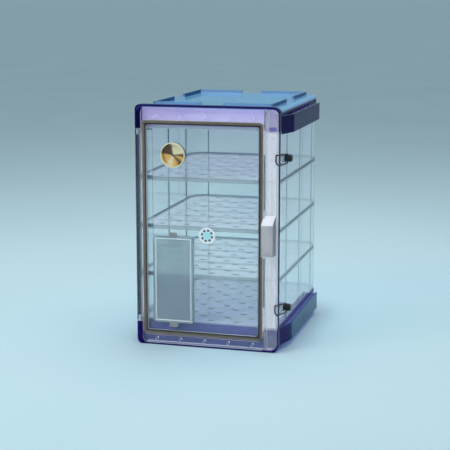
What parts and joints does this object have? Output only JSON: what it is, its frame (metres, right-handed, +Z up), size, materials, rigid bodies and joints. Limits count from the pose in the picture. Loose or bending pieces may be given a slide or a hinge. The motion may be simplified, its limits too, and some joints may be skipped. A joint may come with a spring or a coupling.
{
  "type": "desiccator cabinet",
  "caption": "Upright clear plastic desiccator cabinet with tinted end caps, perforated shelves and a gasketed side-hinged door with a full-height latch bar.",
  "frame": {"origin": "centre of the resting base's bounding box, on the surface the cabinet stands on", "axes": "+X to the viewer's right when facing the door, +Y towards the back, +Z up"},
  "size_m": [0.336, 0.448, 0.51],
  "materials": {
    "tinted_top": "clear blue-tinted moulded plastic",
    "tinted_base": "deep blue tinted moulded plastic",
    "clear_wall": "clear moulded plastic, faintly cool",
    "clear_door": "clear moulded plastic",
    "shelf_plastic": "clear moulded plastic, slightly hazy",
    "latch_plastic": "milky moulded plastic",
    "gasket_rubber": "taupe soft rubber",
    "joint_seal": "grey soft rubber",
    "loop_rubber": "black rubber",
    "clamp_plastic": "near-black moulded plastic",
    "pin_steel": "bright drawn steel",
    "dial_brass": "spun brass",
    "bezel_metal": "polished rim",
    "coil_metal": "thin rolled strip",
    "clear_lens": "clear plastic disc",
    "needle_black": "black paint",
    "frosted_plastic": "frosted moulded plastic",
    "silica_gel": "loose pale-blue beads",
    "disc_card": "matt white disc with a pale blue-green centre"
  },
  "bodies": {
    "cabinet": {"bottom_cap": "tinted_base", "top_cap": "tinted_top", "wall_tier_1": "clear_wall", "wall_tier_2": "clear_wall", "wall_tier_3": "clear_wall", "wall_tier_4": "clear_wall", "joint_seal_1": "joint_seal", "joint_seal_2": "joint_seal", "joint_seal_3": "joint_seal", "joint_seal_4": "joint_seal", "joint_seal_5": "joint_seal", "shelf_1": "shelf_plastic", "shelf_2": "shelf_plastic", "shelf_3": "shelf_plastic", "shelf_4": "shelf_plastic", "door_hinge_pin_top": "pin_steel", "door_hinge_pin_bottom": "pin_steel", "clamp_base_top": "clamp_plastic", "clamp_base_bottom": "clamp_plastic", "clamp_screws": "pin_steel"},
    "door": {"door_pane": "clear_door", "door_gasket": "gasket_rubber", "latch_hinge_rod": "pin_steel", "hygrometer_case": "dial_brass", "hygrometer_bezel": "bezel_metal", "hygrometer_lens": "clear_lens", "hygrometer_dial": "dial_brass", "hygrometer_coil": "coil_metal", "hygrometer_back_nut": "clamp_plastic", "desiccant_case": "frosted_plastic", "desiccant_cover": "frosted_plastic", "desiccant_charge": "silica_gel", "desiccant_clip_top": "clear_door", "desiccant_clip_bottom": "clear_door", "indicator_disc": "disc_card"},
    "latch": {"latch_bar": "latch_plastic", "latch_grip": "latch_plastic"},
    "needle": {"hygrometer_needle": "needle_black"},
    "loop_top": {"clamp_loop_top": "loop_rubber"},
    "loop_bottom": {"clamp_loop_bottom": "loop_rubber"}
  },
  "joints": [
    {"name": "door_hinge", "type": "hinge", "parent": "cabinet", "child": "door", "pos_m": [-0.1473, -0.1885, 0.25275], "axis": [0, 0, -1], "range_deg": [0, 170]},
    {"name": "latch_hinge", "type": "hinge", "parent": "door", "child": "latch", "pos_m": [0.1232, -0.1931, 0.25275], "axis": [0, 0, -1], "range_deg": [0, 75]},
    {"name": "needle_turn", "type": "hinge", "parent": "door", "child": "needle", "pos_m": [-0.0705, -0.195, 0.405], "axis": [0, 1, 0], "range_deg": [-75, 195]},
    {"name": "loop_top_swing", "type": "hinge", "parent": "cabinet", "child": "loop_top", "pos_m": [0.1574, -0.135, 0.399], "axis": [0, 0, 1], "range_deg": [0, 20], "deforming": ["clamp_loop_top"]},
    {"name": "loop_bottom_swing", "type": "hinge", "parent": "cabinet", "child": "loop_bottom", "pos_m": [0.1574, -0.135, 0.084], "axis": [0, 0, 1], "range_deg": [0, 20], "deforming": ["clamp_loop_bottom"]}
  ]
}
